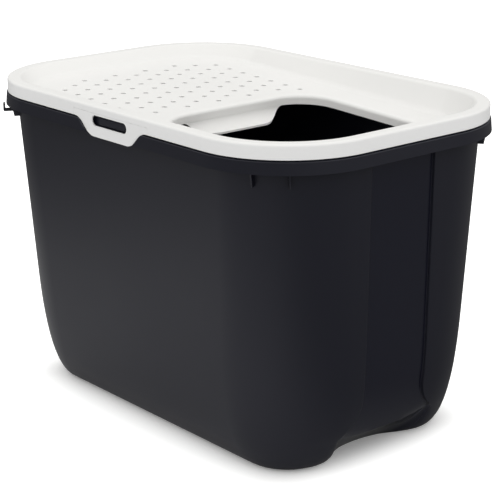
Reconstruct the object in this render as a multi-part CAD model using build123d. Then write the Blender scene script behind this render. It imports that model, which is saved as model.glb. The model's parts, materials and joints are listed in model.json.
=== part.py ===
from build123d import *
import os
from math import atan, cos, degrees, floor, radians, sin, sqrt, tan

# Top entry litter box: a deep tub with a lift-off lid whose deck slopes down to an entry hole.
# X is the long axis (the entry is at +X), Y the short axis, Z up. The origin lies under the
# middle of the box, on the floor. All sizes are in millimetres, all angles in degrees.

# ---------------------------------------------------------------- driving dimensions
length = 585.0                 # over the lid, along X
width = 390.0                  # over the lid, along Y
height = 395.0                 # floor to crest of the lid
corner_radius = 119.0          # plan radius of the lid's corners

# Lid
lid_wall = 2.4
skirt_height = 16.6            # crest down to the lower edge of the skirt
crest_edge_radius = 3.0        # rounding between skirt and crest
crest_width = 14.0             # flat top of the crest, from the outside inwards
crest_roll_radius = 5.0        # the crest rolls over into the slope
slope_angle = 60.0             # steepest part of the slope, from the horizontal
slope_foot_radius = 12.0       # hollow curve between slope and deck
deck_depth = 25.8              # crest down to the deck, at the middle of the box
deck_tilt = 2.31               # the deck falls towards the entry

# Litter holes in the deck
hole_diameter = 5.6
hole_pitch = 27.93             # spacing along a row; rows are staggered by half of it
hole_margin = 33.2             # flat deck kept clear of holes at the end and along the sides
holes_per_row = 7
hole_entry_gap = 20.0          # deck kept clear between the holes and the entry

# Entry hole
entry_length = 230.0           # along X, inside the collar
entry_width = 238.0            # along Y, inside the collar
entry_corner_radius = 48.0
entry_end_gap = 34.0           # flat deck between the entry and the slope at its end
collar_depth = 10.5            # collar that hangs down around the entry
collar_edge_radius = 4.5       # roll of the deck into the collar
step_drop = 25.5               # deck down to the step ledge under the entry's straight edge
step_reach = 18.5              # how far the ledge stands into the entry
step_curve_radius = 14.0       # hollow curve between collar and ledge
step_shoulder_radius = 10.0    # hollow curves from the collar's lower edge into its sides
step_corner_radius = 13.0      # the ledge's free corners

# Latch tab in the middle of each long side of the lid
tab_centre_x = 4.8
tab_shoulder_width = 120.0     # where the sloping sides meet the skirt's lower edge
tab_foot_width = 80.0          # where they meet the tab's lower edge
tab_root_width = 142.0
tab_drop = 19.4                # skirt's lower edge down to the tab's
tab_shoulder_radius = 20.0
tab_toe_radius = 20.0
tab_root_rise = 8.1            # skirt's lower edge up to the line where the tab bends
slot_length = 63.6
slot_height = 11.2
slot_shift = 0.6               # slot centre from the tab's centre, along X
slot_rise = 13.4               # tab's lower edge up to the slot

# Bin: tapered walls on a soft foot
bin_wall = 2.4
rim_overhang = 13.5            # lid's outline in to the outside of the wall, at the mouth
mouth_corner_radius = 101.0
end_draft = 1.3
side_draft = 3.3
corner_growth = 0.025          # corner radius gained per millimetre down the wall
foot_height = 142.0            # the foot's curve starts here
foot_end_inset = 54.8          # how far the ends curve in at the floor
foot_side_inset = 38.9         # the same for the long sides
foot_fullness = 2.44           # exponent of the foot's curve; 2 is an ellipse
foot_corner_sharpening = 1.65  # corner radius lost per millimetre of inset
floor_corner_radius = 10.0     # the corners are never sharper than this

# Bin rim: a flange that turns out and down, and an upstand that carries the lid
skirt_gap = 1.9                # lower edge of the skirt above the flange
flange_depth = 14.0
flange_edge_radius = 0.8
flange_top_overhang = 1.4      # flange outside the lid's outline, at its top
flange_foot_overhang = 2.6     # the same at its lower edge
upstand_inset = 5.0            # lid's outline in to the outside of the upstand
upstand_thickness = 2.2

# Two ribs under the flange in each corner, and the scoop hook in one corner
rib_angles = (28.0, 50.0)      # around the corner, from the long side
rib_thickness = 1.8
rib_drop = 16.5                # flange's lower edge down to the rib's
rib_top_reach = 9.0            # out from the wall, just under the flange
rib_foot_reach = 5.5           # out from the wall, at the rib's lower edge
hook_angle = 34.0              # around the corner, from the long side
hook_width = 12.0
hook_thickness = 2.0
hook_gap = 2.0                 # between flange and hook
hook_drop = 11.0               # flange's lower edge down to the hook's
hook_height = 9.5
hook_heel_radius = 1.8

# Catches on the rim, behind the tabs
tab_side_clearance = 1.2       # around the tab, in the flange
tab_back_clearance = 2.4       # behind the tab, to the rim's plate
catch_length = 50.0
catch_height = 9.0
catch_clearance = 0.3          # between catch and tab
catch_bevel = 1.0

# Sunk band in each end wall, and the finger scoop under it
band_width = 96.0
band_depth = 4.0
band_flare_height = 85.0       # the band widens below this
band_flare_radius = 45.0
band_flare_angle = 70.0
band_foot_height = 36.0        # crease between band and scoop, in the middle
scoop_run = 50.0               # how far the scoop leans out from the floor up to that crease
scoop_hollow = 21.0            # how much further in it reaches in its middle, at the floor
scoop_side_margin = 2.0        # scoop's sides inside the band's lower corners
scoop_lap = 2.0                # scoop's top over the band's lower edge

# ---------------------------------------------------------------- values worked out
half_length = length / 2
half_width = width / 2
skirt_bottom = height - skirt_height
slope_radii = crest_roll_radius + slope_foot_radius
slope_drop = deck_depth - slope_radii * (1 - cos(radians(slope_angle)))
slope_run = slope_drop / tan(radians(slope_angle))
slope_width = slope_run + slope_radii * sin(radians(slope_angle))
deck_half_length = half_length - crest_width - slope_width
deck_half_width = half_width - crest_width - slope_width
entry_end_x = deck_half_length - entry_end_gap
entry_start_x = entry_end_x - entry_length
step_root_width = entry_width - 2 * entry_corner_radius
step_width = step_root_width - 2 * step_shoulder_radius
tab_foot = skirt_bottom - tab_drop
tab_root = skirt_bottom + tab_root_rise
flange_top = skirt_bottom - skirt_gap
flange_foot = flange_top - flange_depth
upstand_top = height - lid_wall
mouth_height = flange_foot
lid_underneath = skirt_bottom - 2 * step_drop   # cutting shapes for the lid start down here
hole_drill_length = 4 * lid_wall
corner_x = half_length - corner_radius
corner_y = half_width - corner_radius
tub_corner_x = half_length - rim_overhang - mouth_corner_radius
tub_corner_y = half_width - rim_overhang - mouth_corner_radius
hook_root = mouth_corner_radius + (flange_foot_overhang + rim_overhang) / 4
OVERRUN = 5.0                  # how far a cutting shape runs past what it cuts
TOLERANCE = 0.01               # for telling corners of an outline apart
SLOPE_SHARES = (0.2, 0.5, 0.8, 1.0)      # sections through each curve of the slope
STRAIGHT_SHARES = (0.2, 0.4, 0.6, 0.8)   # and through its straight stretch
SLOPE_LEAD = 2.0               # the slope's line is carried on over the crest by so much
FOOT_SECTIONS = 10             # sections through the foot, closer together near the floor
FOOT_SPACING = 2.2


# ---------------------------------------------------------------- lid
def deck_height(x):
    """Height of the deck's upper face at x."""
    return height - deck_depth - x * tan(radians(deck_tilt))


def outline(grow, z):
    """The lid's plan outline, grown or shrunk all round, as a face at height z."""
    return Pos(0, 0, z) * RectangleRounded(length + 2 * grow, width + 2 * grow, corner_radius + grow)


def slab(grow, z_low, z_high):
    """An upright block of that outline."""
    return extrude(outline(grow, z_low), z_high - z_low)


def slope_profile():
    """Points down the slope, from just over the crest: how far in, how far down, how steep."""
    angles = [slope_angle * share for share in SLOPE_SHARES]
    turn = radians(angles[0])
    lead_in = crest_roll_radius * sin(turn) - SLOPE_LEAD * cos(turn)
    lead_down = crest_roll_radius * (1 - cos(turn)) - SLOPE_LEAD * sin(turn)
    points = [(lead_in, lead_down, angles[0])]
    for angle in angles:
        turn = radians(angle)
        points.append((crest_roll_radius * sin(turn), crest_roll_radius * (1 - cos(turn)), angle))
    start_in, start_down, steepest = points[-1]
    for share in STRAIGHT_SHARES:
        points.append((start_in + slope_run * share, start_down + slope_drop * share, steepest))
    for angle in reversed([0.0] + angles):
        turn = radians(angle)
        inwards = slope_width - slope_foot_radius * sin(turn)
        down = deck_depth - slope_foot_radius * (1 - cos(turn))
        points.append((inwards, down, angle))
    return points


def basin(grow):
    """The space over the slope and the deck; grown by the wall, it shapes the underside."""
    sections = []
    for inwards, down, angle in slope_profile():
        inset = crest_width + inwards - grow * sin(radians(angle))
        tilt = radians(deck_tilt * down / deck_depth)
        level = height - down - grow * cos(radians(angle))
        plane = Plane((0, 0, level), x_dir=(cos(tilt), 0, -sin(tilt)), z_dir=(sin(tilt), 0, cos(tilt)))
        sketch = RectangleRounded(length - 2 * inset, width - 2 * inset, corner_radius - inset)
        sections.append(plane * sketch)
    return loft(sections)


def cover(shrink):
    """Everything under the lid's upper surface; shrunk by the wall, it hollows the lid."""
    block = slab(-shrink, lid_underneath - shrink, height - shrink)
    if crest_edge_radius > shrink:
        block = fillet(block.edges().group_by(Axis.Z)[-1], crest_edge_radius - shrink)
    return block - basin(shrink)


def entry_block(grow):
    """An upright block of the entry's outline, from well under the lid to over it."""
    sketch = RectangleRounded(
        entry_length + 2 * grow, entry_width + 2 * grow, entry_corner_radius + grow
    )
    middle_x = (entry_start_x + entry_end_x) / 2
    return extrude(Pos(middle_x, 0, lid_underneath) * sketch, height - lid_underneath)


def deck_layer(depth, thickness):
    """A layer parallel to the deck whose upper face lies at a depth under the deck's."""
    corners = (
        (-half_length, deck_height(-half_length) - depth),
        (half_length, deck_height(half_length) - depth),
        (half_length, deck_height(half_length) - depth - thickness),
        (-half_length, deck_height(-half_length) - depth - thickness),
    )
    return extrude(Plane.XZ * Polygon(*corners, align=None), half_width, both=True)


def step_ledge():
    """The collar's middle, which runs on down and curls forward into a small ledge."""
    top = deck_height(entry_start_x) - collar_depth / 2
    ledge = deck_height(entry_start_x) - step_drop
    tip_x = entry_start_x + step_reach
    centre_x = entry_start_x + step_curve_radius
    centre_z = ledge + step_curve_radius
    upper = Line((entry_start_x, top), (entry_start_x, centre_z))
    upper += RadiusArc((entry_start_x, centre_z), (centre_x, ledge), step_curve_radius)
    upper += Line((centre_x, ledge), (tip_x, ledge))
    lower = Line((tip_x, ledge), (tip_x, ledge - lid_wall))
    lower += Line((tip_x, ledge - lid_wall), (centre_x, ledge - lid_wall))
    lower += RadiusArc(
        (centre_x, ledge - lid_wall), (entry_start_x - lid_wall, centre_z), -step_curve_radius - lid_wall
    )
    lower += Line((entry_start_x - lid_wall, centre_z), (entry_start_x - lid_wall, top))
    lower += Line((entry_start_x - lid_wall, top), (entry_start_x, top))
    curl = extrude(Plane.XZ * make_face(upper + lower), step_root_width / 2, both=True)
    back_x = entry_start_x - 2 * lid_wall
    plan = Pos((back_x + tip_x) / 2, 0) * Rectangle(tip_x - back_x, step_width)
    plan = fillet(plan.vertices().group_by(Axis.X)[-1], step_corner_radius)
    plan += Pos(back_x + lid_wall, 0) * Rectangle(2 * lid_wall, step_root_width)
    curl &= extrude(Pos(0, 0, ledge - OVERRUN) * plan, step_drop + OVERRUN)
    return curl & extrude(Plane.YZ * step_front(top, ledge - OVERRUN), length, both=True)


def step_front(top, bottom):
    """The step's outline seen along X: full width at the collar, hollowed in to its sides."""
    collar_foot = deck_height(entry_start_x) - lid_wall / 2 - collar_depth
    shoulder_z = collar_foot - step_shoulder_radius
    sketch = Pos(0, (shoulder_z + top) / 2) * Rectangle(step_root_width, top - shoulder_z)
    hollow = Pos(step_root_width / 2, shoulder_z) * Circle(step_shoulder_radius)
    sketch -= hollow + mirror(hollow, Plane.YZ)
    return sketch + Pos(0, (shoulder_z + bottom) / 2) * Rectangle(step_width, shoulder_z - bottom)


def entry_edge_x(y):
    """Where the entry begins on a line along X at y."""
    beyond = abs(y) - (entry_width / 2 - entry_corner_radius)
    beyond = min(max(beyond, 0), entry_corner_radius)
    return entry_start_x + entry_corner_radius - sqrt(entry_corner_radius**2 - beyond**2)


def litter_holes():
    """Staggered rows of round holes; the outermost rows start one hole further in."""
    row_pitch = hole_pitch * sin(radians(60))
    first_x = hole_margin - deck_half_length
    side_rows = floor((deck_half_width - hole_margin) / row_pitch)
    drills = []
    for row in range(-side_rows, side_rows + 1):
        y = row * row_pitch
        half_steps = (row + side_rows) % 2
        if abs(row) == side_rows:
            half_steps = 2
        start_x = first_x + half_steps * hole_pitch / 2
        room = entry_edge_x(y) - hole_entry_gap - start_x
        for k in range(min(holes_per_row, floor(room / hole_pitch) + 1)):
            x = start_x + k * hole_pitch
            drills.append(Pos(x, y, deck_height(x)) * Cylinder(hole_diameter / 2, hole_drill_length))
    return drills


def tab_outline(grow, root):
    """The tab seen from the side: a strip of the skirt, then sloping sides and a straight foot."""
    foot = tab_foot - grow
    sketch = Polygon(
        (tab_centre_x - tab_root_width / 2, root),
        (tab_centre_x - tab_root_width / 2, skirt_bottom),
        (tab_centre_x - tab_shoulder_width / 2 - grow, skirt_bottom),
        (tab_centre_x - tab_foot_width / 2 - grow, foot),
        (tab_centre_x + tab_foot_width / 2 + grow, foot),
        (tab_centre_x + tab_shoulder_width / 2 + grow, skirt_bottom),
        (tab_centre_x + tab_root_width / 2, skirt_bottom),
        (tab_centre_x + tab_root_width / 2, root),
        align=None,
    )
    toes = sketch.vertices().group_by(Axis.Y)[0]
    sketch = fillet(toes, tab_toe_radius + grow)
    shoulder_x = tab_shoulder_width / 2 + grow
    shoulders = [
        v for v in sketch.vertices()
        if abs(v.Y - skirt_bottom) < TOLERANCE and abs(abs(v.X - tab_centre_x) - shoulder_x) < TOLERANCE
    ]
    return fillet(shoulders, tab_shoulder_radius)


def front_plane(inset):
    """Upright plane along the front long side, facing out, inside the lid's outline."""
    return Plane.XZ.offset(half_width - inset)


def latch_tab():
    """Front tab: it hangs from its root in the plane of the skirt, with a slot through it."""
    slot_x = tab_centre_x + slot_shift
    slot_z = tab_foot + slot_rise + slot_height / 2
    sketch = tab_outline(0, tab_root) - Pos(slot_x, slot_z) * SlotOverall(slot_length, slot_height)
    return extrude(front_plane(0) * sketch, -lid_wall)


def tab_opening():
    """The piece of skirt that the front tab takes the place of."""
    low = skirt_bottom - OVERRUN
    sketch = Rectangle(tab_root_width, tab_root - low)
    placed = Pos(tab_centre_x, (tab_root + low) / 2) * sketch
    return extrude(front_plane(-OVERRUN) * placed, -OVERRUN - lid_wall)


def lid():
    """Skirt, crest, slope and deck as one wall, with the entry, its collar and step, and holes."""
    shell = cover(0) - cover(lid_wall)
    under_skirt = slab(OVERRUN, lid_underneath - OVERRUN, skirt_bottom)
    under_skirt -= slab(-crest_width, lid_underneath - OVERRUN, skirt_bottom)
    shell -= under_skirt
    shell += (entry_block(lid_wall) - entry_block(0)) & deck_layer(lid_wall / 2, collar_depth)
    shell -= entry_block(0)
    rim = [e for e in shell.edges() if on_entry_rim(e)]
    shell = fillet(rim, collar_edge_radius)
    shell += step_ledge()
    shell -= litter_holes()
    opening = tab_opening()
    return shell - opening - mirror(opening, Plane.XZ)


def on_entry_rim(edge):
    """Whether an edge lies where the deck's upper face meets the entry."""
    middle = edge @ 0.5
    along = entry_start_x - lid_wall < middle.X < entry_end_x + lid_wall
    across = abs(middle.Y) < entry_width / 2 + lid_wall
    return along and across and abs(middle.Z - deck_height(middle.X)) < lid_wall / 10


# ---------------------------------------------------------------- bin
def foot_curve(z, inset):
    """How far the foot curves in at height z, along a superellipse."""
    if z >= foot_height:
        return 0.0
    rise = 1 - max(z, 0) / foot_height
    return inset * (1 - (1 - rise**foot_fullness) ** (1 / foot_fullness))


def tub_section(z, shrink, sink):
    """Outline of the tub at height z; the inside has the same shape, shrunk and raised."""
    level = z - shrink
    end_curve = foot_curve(level, foot_end_inset)
    side_curve = foot_curve(level, foot_side_inset)
    below_mouth = mouth_height - level
    half_x = half_length - rim_overhang - below_mouth * tan(radians(end_draft)) - end_curve
    half_y = half_width - rim_overhang - below_mouth * tan(radians(side_draft)) - side_curve
    radius = mouth_corner_radius + below_mouth * corner_growth
    radius -= foot_corner_sharpening * (end_curve + side_curve) / 2
    radius = max(radius - shrink, floor_corner_radius)
    return Pos(0, 0, z) * RectangleRounded(2 * (half_x - shrink - sink), 2 * (half_y - shrink), radius)


def tub_block(shrink, sink, top):
    """The tub as a solid block, its ends sunk by so much."""
    shares = [k / FOOT_SECTIONS for k in range(FOOT_SECTIONS + 1)]
    foot_levels = [shrink + foot_height * share**FOOT_SPACING for share in shares]
    foot = loft([tub_section(z, shrink, sink) for z in foot_levels])
    upper = loft([tub_section(z, shrink, sink) for z in (foot_levels[-1], top)], ruled=True)
    return foot + upper


def flare_point(angle, grow):
    """A point (y, z) on the curve where the sunk band flares, at an angle from the upright."""
    radius = band_flare_radius - grow
    y = band_width / 2 + band_flare_radius - radius * cos(radians(angle))
    return y, band_flare_height - radius * sin(radians(angle))


def band_shape(grow):
    """The sunk band of the +X end seen from the end: upright sides that flare above the foot."""
    start_y, start_z = flare_point(0, grow)
    mid_y, mid_z = flare_point(band_flare_angle / 2, grow)
    low_y, low_z = flare_point(band_flare_angle, grow)
    line = Polyline((-start_y, start_z), (-start_y, height), (start_y, height), (start_y, start_z))
    line += ThreePointArc((start_y, start_z), (mid_y, mid_z), (low_y, low_z))
    line += ThreePointArc((low_y, low_z), (0, band_foot_height - scoop_lap - grow), (-low_y, low_z))
    line += ThreePointArc((-low_y, low_z), (-mid_y, mid_z), (-start_y, start_z))
    return make_face(line)


def scoop(shrink):
    """The finger scoop under the +X band: hollowed at the floor, straighter where it ends."""
    low_y, low_z = flare_point(band_flare_angle, 0)
    side_y = low_y - scoop_side_margin + shrink
    side_top = low_z + scoop_lap
    floor_x = tub_end_x(band_foot_height) - band_depth - scoop_run
    middle_lean = scoop_run / band_foot_height
    side_lean = (tub_end_x(side_top) - band_depth - floor_x - scoop_hollow) / side_top
    far_x = half_length + OVERRUN
    sections = []
    for z in (-OVERRUN, side_top + OVERRUN):
        side_x = floor_x + scoop_hollow + side_lean * z
        middle_x = floor_x + middle_lean * z
        line = ThreePointArc((side_x, -side_y), (middle_x, 0), (side_x, side_y))
        line += Polyline((side_x, side_y), (far_x, side_y), (far_x, -side_y), (side_x, -side_y))
        sections.append(Pos(-shrink, 0, z + shrink) * make_face(line))
    return loft(sections, ruled=True)


def tub_end_x(z):
    """X of the tub's +X end wall at height z."""
    below_mouth = mouth_height - z
    inset = rim_overhang + below_mouth * tan(radians(end_draft)) + foot_curve(z, foot_end_inset)
    return half_length - inset


def tub_form(shrink):
    """The tub with its sunk bands and finger scoops; shrunk by the wall, it is the inside."""
    top = flange_top + (OVERRUN if shrink else 0)
    form = tub_block(shrink, 0, top)
    band = extrude(Plane.YZ * band_shape(shrink), half_length)
    band -= tub_block(shrink, band_depth, top + OVERRUN)
    cutter = band + scoop(shrink)
    return form - cutter - mirror(cutter, Plane.YZ)


def flange_form(inset, top):
    """The flange's outside as a solid block that leans out towards its foot; inset, its inside."""
    lean = degrees(atan((flange_foot_overhang - flange_top_overhang) / flange_depth))
    foot = outline(flange_foot_overhang - inset, flange_foot)
    return extrude(foot, top - flange_foot, taper=lean)


def flange_block():
    """The flange's outside, rounded where its top turns down."""
    block = flange_form(0, flange_top)
    return fillet(block.edges().group_by(Axis.Z)[-1], flange_edge_radius)


def flange_channel():
    """The hollow under the flange, open at the bottom."""
    below = extrude(outline(flange_foot_overhang - bin_wall, flange_foot), -OVERRUN)
    return flange_form(bin_wall, flange_top - bin_wall) + below


def upstand():
    """Thin wall on the flange that carries the underside of the lid's crest."""
    low = flange_top - bin_wall / 2
    outer = slab(-upstand_inset, low, upstand_top)
    return outer - slab(-upstand_inset - upstand_thickness, low, upstand_top)


def ribs():
    """Upright plates between the wall and the flange, two around each corner."""
    wall = mouth_corner_radius - bin_wall / 2
    top = flange_top - bin_wall / 2
    foot = flange_foot - rib_drop
    far = corner_radius + rim_overhang
    reach = mouth_corner_radius + rib_top_reach
    bridge = Polygon((wall, top), (far, top), (far, flange_foot), (wall, flange_foot), align=None)
    bracket = Polygon(
        (wall, flange_foot + rib_thickness),
        (reach, flange_foot + rib_thickness),
        (reach, flange_foot),
        (mouth_corner_radius + rib_foot_reach, foot),
        (wall, foot),
        align=None,
    )
    upper = extrude(Plane.XZ * bridge, rib_thickness / 2, both=True)
    lower = extrude(Plane.XZ * bracket, rib_thickness / 2, both=True)
    limit = flange_form(bin_wall / 2, flange_top)
    corner = []
    for angle in rib_angles:
        place = Pos(tub_corner_x, tub_corner_y, 0) * Rot(0, 0, 90 - angle)
        corner.append((place * upper & limit) + place * lower)
    half = corner + [mirror(rib, Plane.XZ) for rib in corner]
    return half + [mirror(rib, Plane.YZ) for rib in half]


def scoop_hook():
    """A hook, open upwards, that stands out past the flange in the front corner at -X."""
    floor_low = flange_foot - hook_drop
    tip_in = corner_radius + flange_foot_overhang + hook_gap
    tip_out = tip_in + hook_thickness
    profile = Polygon(
        (hook_root, floor_low),
        (tip_out, floor_low),
        (tip_out, floor_low + hook_height),
        (tip_in, floor_low + hook_height),
        (tip_in, floor_low + hook_thickness),
        (hook_root, floor_low + hook_thickness),
        align=None,
    )
    heel = [v for v in profile.vertices() if v.X > tip_in + TOLERANCE and v.Y < floor_low + TOLERANCE]
    profile = fillet(heel, hook_heel_radius)
    spread = degrees(hook_width / tip_in)
    sector = Rot(0, 0, -spread / 2) * revolve(Plane.XZ * profile, Axis.Z, spread)
    return Pos(-corner_x, -corner_y, 0) * Rot(0, 0, 270 - hook_angle) * sector


def latch_pocket():
    """The cut in the flange that the front tab hangs in."""
    sketch = tab_outline(tab_side_clearance, flange_top + OVERRUN)
    depth = OVERRUN + lid_wall + tab_back_clearance
    return extrude(front_plane(-OVERRUN) * sketch, -depth)


def latch_block():
    """The flange made solid around the front pocket, so that the pocket has a back."""
    half = tab_shoulder_width / 2 + tab_side_clearance + bin_wall
    middle_z = (flange_top + flange_foot) / 2
    sketch = Pos(tab_centre_x, middle_z) * Rectangle(2 * half, flange_depth)
    depth = OVERRUN + lid_wall + tab_back_clearance + bin_wall
    return extrude(front_plane(-OVERRUN) * sketch, -depth) & flange_block()


def latch_catch():
    """The bevelled bar behind the front tab's slot."""
    middle_z = tab_foot + slot_rise + slot_height / 2
    sketch = Pos(tab_centre_x + slot_shift, middle_z) * Rectangle(catch_length, catch_height)
    face_inset = lid_wall + catch_clearance
    bar = extrude(front_plane(face_inset) * sketch, face_inset - upstand_inset - upstand_thickness / 2)
    return chamfer(bar.faces().sort_by(Axis.Y)[0].edges(), catch_bevel)


def bin_tub():
    """The whole lower moulding: tub, flange, upstand, ribs, scoop hook and latch catches."""
    inside = tub_form(bin_wall)
    body = flange_block() - flange_channel() + latch_block() + mirror(latch_block(), Plane.XZ)
    body = body + tub_form(0) + ribs() + scoop_hook() - inside
    pocket = latch_pocket()
    body = body - pocket - mirror(pocket, Plane.XZ)
    catch = latch_catch()
    return body + upstand() + catch + mirror(catch, Plane.XZ)


# ---------------------------------------------------------------- pieces
tab = latch_tab()
pieces = {
    "bin": bin_tub(),
    "lid": lid(),
    "front_latch_tab": tab,
    "rear_latch_tab": mirror(tab, Plane.XZ),
}

os.makedirs("parts", exist_ok=True)
for name, piece in pieces.items():
    solids = piece.solids()
    shape = solids[0] if len(solids) == 1 else Compound(children=solids)
    shape.label = name
    export_step(shape, f"parts/{name}.step")
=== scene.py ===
# %% [markdown]
# # A top entry litter box
# The real object is two injection-moulded pieces: a deep, dark tub and a white lid that
# lifts off it. The lid holds itself on with a springy tab in the middle of each long side.
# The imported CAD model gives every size, so this script starts by loading it as a fixed frame.

# %% Load the frame
import json
from math import asin, cos, hypot, pi, radians, sin, sqrt, tan

import bpy
from mathutils import Matrix, Vector

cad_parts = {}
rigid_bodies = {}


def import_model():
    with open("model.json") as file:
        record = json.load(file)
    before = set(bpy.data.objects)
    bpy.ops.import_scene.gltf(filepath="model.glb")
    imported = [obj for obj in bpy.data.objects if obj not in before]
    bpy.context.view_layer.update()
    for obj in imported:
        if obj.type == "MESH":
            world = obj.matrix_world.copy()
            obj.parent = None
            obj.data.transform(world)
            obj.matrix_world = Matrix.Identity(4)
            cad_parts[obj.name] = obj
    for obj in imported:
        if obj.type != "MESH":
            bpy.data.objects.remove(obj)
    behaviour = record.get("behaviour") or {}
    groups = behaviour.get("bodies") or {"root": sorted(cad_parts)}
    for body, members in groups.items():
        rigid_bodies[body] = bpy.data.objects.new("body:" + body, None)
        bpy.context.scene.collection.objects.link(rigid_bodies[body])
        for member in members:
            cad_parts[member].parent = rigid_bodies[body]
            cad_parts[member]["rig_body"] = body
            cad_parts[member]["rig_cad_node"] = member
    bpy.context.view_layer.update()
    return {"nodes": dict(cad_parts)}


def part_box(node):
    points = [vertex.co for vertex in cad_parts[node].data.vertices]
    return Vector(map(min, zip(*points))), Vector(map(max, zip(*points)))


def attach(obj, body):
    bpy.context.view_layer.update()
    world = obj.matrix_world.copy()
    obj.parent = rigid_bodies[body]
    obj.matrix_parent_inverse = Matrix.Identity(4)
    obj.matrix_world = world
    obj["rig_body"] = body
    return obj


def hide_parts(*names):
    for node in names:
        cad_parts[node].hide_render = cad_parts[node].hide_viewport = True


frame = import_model()

# %% [markdown]
# ## Sizes that the pieces share
# The lid's box gives the overall sizes. The rest are the moulds' own sizes, in metres: walls,
# radii and heights that more than one piece needs. Whatever only one piece needs comes later,
# beside that piece.

# %% Shared sizes
MM = 0.001
half_length, half_width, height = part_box("lid")[1]
corner_radius = 119.0 * MM     # of the lid, seen from above
wall = 2.4 * MM                # of both mouldings
skirt_bottom = height - 16.6 * MM
flange_top = skirt_bottom - 1.9 * MM
mouth = flange_top - 14.0 * MM
print("half length", round(half_length, 4), "half width", round(half_width, 4))
print("height", round(height, 4))

# %% [markdown]
# ## Editing helpers
# The pieces are shaped in edit mode, where every operator works on what is selected. One
# helper selects by a rule about place, so that nothing depends on the order of the points.
# Another extrudes an open edge and puts the new points exactly where a formula says, which is
# how a round lip or a curved wall grows ring by ring.


# %% Editing helpers
def begin(piece):
    """Makes a piece the only selected object, with its place baked into its mesh."""
    bpy.ops.object.select_all(action="DESELECT")
    piece.select_set(True)
    bpy.context.view_layer.objects.active = piece
    bpy.ops.object.transform_apply(location=True, rotation=True, scale=True)


def choose(piece, kind, test):
    """Leaves the piece in edit mode with only the points, edges or faces selected that pass."""
    bpy.ops.object.mode_set(mode="EDIT")
    bpy.ops.mesh.select_mode(type=kind)
    bpy.ops.mesh.select_all(action="DESELECT")
    bpy.ops.object.mode_set(mode="OBJECT")
    mesh = piece.data
    parts = {"VERT": mesh.vertices, "EDGE": mesh.edges, "FACE": mesh.polygons}[kind]
    for part in parts:
        part.select = test(part)
    bpy.ops.object.mode_set(mode="EDIT")


def place_chosen(piece, place):
    """Puts each selected point where a formula says, and returns to edit mode."""
    bpy.ops.object.mode_set(mode="OBJECT")
    for point in piece.data.vertices:
        if point.select:
            point.co = place(point.co)
    bpy.ops.object.mode_set(mode="EDIT")


def extrude_to(piece, place):
    """Extrudes the selected edges, and puts each new point where a formula says."""
    bpy.ops.mesh.extrude_region_move(TRANSFORM_OT_translate={"value": (0.0, 0.0, 0.0)})
    place_chosen(piece, place)


def open_edges(piece, test):
    """Selects the open edges of the piece whose two ends both pass a test on their place."""
    bpy.ops.object.mode_set(mode="EDIT")
    bpy.ops.mesh.select_mode(type="EDGE")
    bpy.ops.mesh.select_all(action="DESELECT")
    bpy.ops.mesh.select_non_manifold(
        extend=False, use_wire=True, use_boundary=True, use_multi_face=False,
        use_non_contiguous=False, use_verts=False,
    )
    bpy.ops.object.mode_set(mode="OBJECT")
    mesh = piece.data
    chosen = {
        edge.index for edge in mesh.edges
        if edge.select and all(test(mesh.vertices[v].co) for v in edge.vertices)
    }
    choose(piece, "EDGE", lambda edge: edge.index in chosen)
    return len(chosen)


def thicken(piece, thickness):
    """Gives an open skin its wall, inwards from the faces' outer side."""
    bpy.ops.object.mode_set(mode="OBJECT")
    solidify = piece.modifiers.new("wall", "SOLIDIFY")
    solidify.thickness = thickness
    solidify.offset = -1.0
    bpy.ops.object.modifier_apply(modifier=solidify.name)


def smooth(piece, angle):
    """Smooth shading up to an angle, led by the large faces, so that flats stay flat."""
    bpy.ops.object.mode_set(mode="OBJECT")
    bpy.ops.object.shade_smooth_by_angle(angle=radians(angle))
    weighted = piece.modifiers.new("weighted", "WEIGHTED_NORMAL")
    weighted.keep_sharp = True
    bpy.ops.object.modifier_apply(modifier=weighted.name)
    print(piece.name, len(piece.data.polygons), "faces")


# %% [markdown]
# ## The tub
# The real tub is a thin, deep moulding: straight walls that taper so that it leaves its mould,
# corners whose radius changes on the way down, and a foot that rolls softly under. Each end has
# a sunk band that flares out at the bottom into a hollow for the fingers. Extruding and scaling
# a ring can't change the corner radius along the way, and a boolean cut leaves ragged shading
# along the band's edges. So a flat grid is wrapped round like a sheet: each of its points is
# placed by a formula for the tub's outline at that height, up the outside, over the rim and
# down the inside. Every edge of the band then has its own line of points.

# %% Tub sizes
tub_top = flange_top - 0.2 * MM          # just under the plate that turns out into the flange
rim_overhang = 13.5 * MM                 # lid's outline in to the tub's wall, at the mouth
mouth_corner_radius = 101.0 * MM
end_draft, side_draft = radians(1.3), radians(3.3)
corner_growth = 0.025
foot_height = 142.0 * MM
foot_end_inset, foot_side_inset = 54.8 * MM, 38.9 * MM
foot_fullness = 2.44
foot_corner_sharpening = 1.65
floor_corner_radius = 10.0 * MM
band_half_width, band_depth = 48.0 * MM, 4.0 * MM
flare_height, flare_radius, flare_angle = 85.0 * MM, 45.0 * MM, radians(70.0)
crease_height = 36.0 * MM                # between band and finger hollow, in the middle
scoop_run, scoop_hollow = 50.0 * MM, 21.0 * MM
scoop_margin = 2.0 * MM
scoop_taper = 13.0 * MM                  # how much narrower the hollow is at the floor
scoop_spread = 11.0 * MM                 # half the width over which its side rises, at the floor
band_edge_radius, hollow_edge_radius = 1.2 * MM, 7.0 * MM


# %% The tub's outline at a height
def foot_curve(z, inset):
    """How far the foot curves in at a height, along a superellipse."""
    if z >= foot_height:
        return 0.0
    rise = 1 - max(z, 0.0) / foot_height
    return inset * (1 - (1 - rise**foot_fullness) ** (1 / foot_fullness))


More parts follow.
